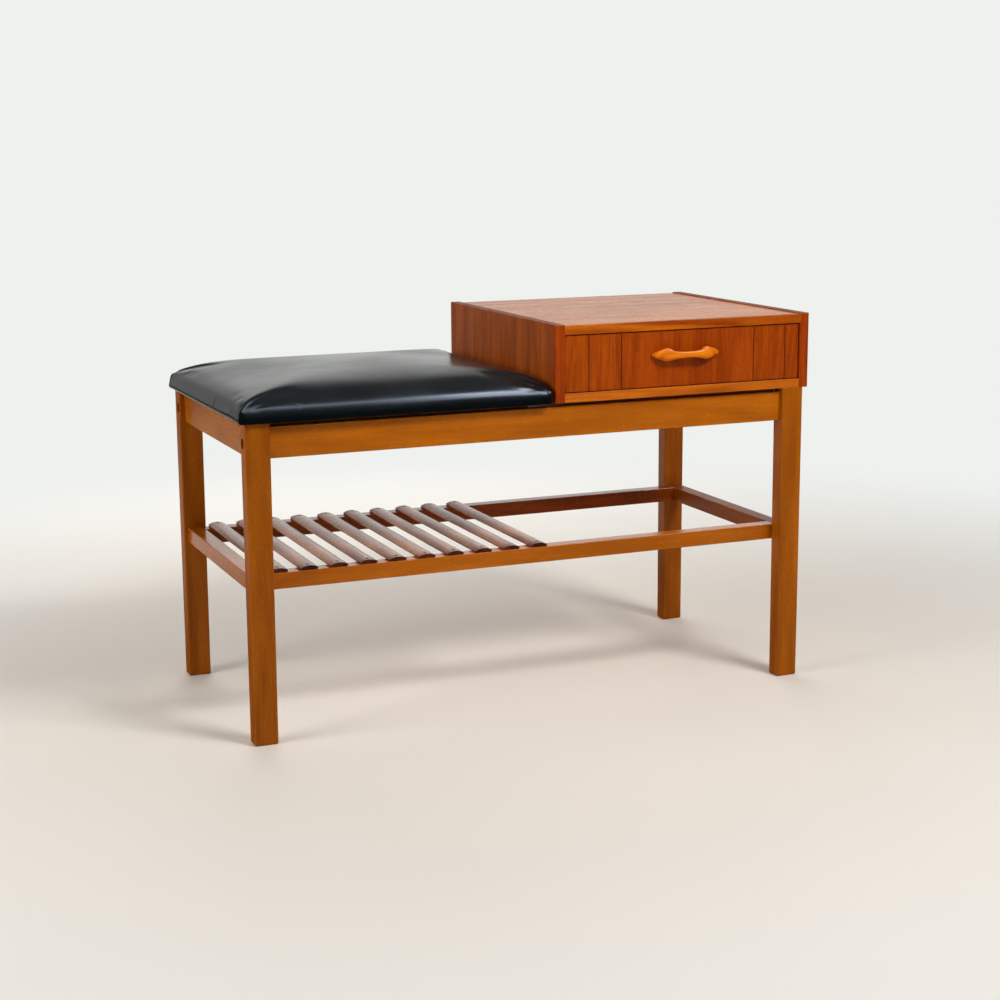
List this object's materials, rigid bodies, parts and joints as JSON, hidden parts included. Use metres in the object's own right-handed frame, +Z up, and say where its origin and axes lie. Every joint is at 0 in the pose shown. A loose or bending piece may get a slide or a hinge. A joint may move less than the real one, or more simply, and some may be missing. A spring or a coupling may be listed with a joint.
{
  "type": "telephone bench",
  "caption": "Low wooden bench with a padded black seat beside a small drawer cabinet for a telephone, over a shelf of slats.",
  "frame": {"origin": "on the floor, in the middle of the whole object's footprint", "axes": "+X along the bench from the seat to the cabinet, +Y from the drawer's front to the back, +Z up"},
  "size_m": [0.851, 0.4079, 0.542],
  "materials": {
    "frame_wood": "stained beech, satin lacquer",
    "plain_wood": "bare beech, planed",
    "dowel_wood": "bare beech, fluted dowel",
    "slat_wood": "dark oiled teak, worn dull on top",
    "lip_wood": "solid teak, satin",
    "cabinet_veneer": "teak veneer, satin",
    "drawer_veneer": "teak veneer, upright grain, satin",
    "handle_wood": "solid pale teak, hand-shaped, satin",
    "drawer_box_wood": "bare beech, planed",
    "back_board": "thin pressed board",
    "seat_board_wood": "bare particle board",
    "foam": "upholstery foam",
    "black_vinyl": "black vinyl, soft gloss",
    "steel": "dull steel"
  },
  "bodies": {
    "bench": {"back_nails": "steel", "barrel_nuts": "steel", "cabinet_back": "back_board", "cabinet_bottom": "cabinet_veneer", "cabinet_cleats": "plain_wood", "cabinet_dowels": "dowel_wood", "cabinet_side_left": "cabinet_veneer", "cabinet_side_right": "cabinet_veneer", "cabinet_top": "cabinet_veneer", "cleat_screws": "steel", "cross_bearer": "plain_wood", "frame_bolts": "steel", "frame_dowels": "dowel_wood", "leg_front_left": "frame_wood", "leg_front_right": "frame_wood", "leg_rear_left": "frame_wood", "leg_rear_right": "frame_wood", "lip_bottom": "lip_wood", "lip_left": "lip_wood", "lip_right": "lip_wood", "lip_top": "lip_wood", "runner_left": "drawer_box_wood", "runner_right": "drawer_box_wood", "runner_screws": "steel", "seat_board": "seat_board_wood", "seat_cleats": "plain_wood", "seat_cover": "black_vinyl", "seat_foam": "foam", "seat_staples": "steel", "shelf_dowels": "dowel_wood", "shelf_end_rail_left": "frame_wood", "shelf_end_rail_right": "frame_wood", "shelf_rail_front": "frame_wood", "shelf_rail_rear": "frame_wood", "slat_01": "slat_wood", "slat_02": "slat_wood", "slat_03": "slat_wood", "slat_04": "slat_wood", "slat_05": "slat_wood", "slat_06": "slat_wood", "slat_07": "slat_wood", "slat_08": "slat_wood", "slat_09": "slat_wood", "slat_10": "slat_wood", "slat_nails": "steel", "top_end_rail_left": "frame_wood", "top_end_rail_right": "frame_wood", "top_rail_front": "frame_wood", "top_rail_rear": "frame_wood"},
    "drawer": {"drawer_front": "drawer_veneer", "drawer_handle": "handle_wood", "drawer_side_left": "drawer_box_wood", "drawer_side_right": "drawer_box_wood", "drawer_back": "drawer_box_wood", "drawer_bottom": "back_board", "drawer_pins": "steel", "handle_screws": "steel"}
  },
  "joints": [
    {"name": "drawer_slide", "type": "slide", "parent": "bench", "child": "drawer", "axis": [0, -1, 0], "range_m": [0, 0.25]}
  ]
}
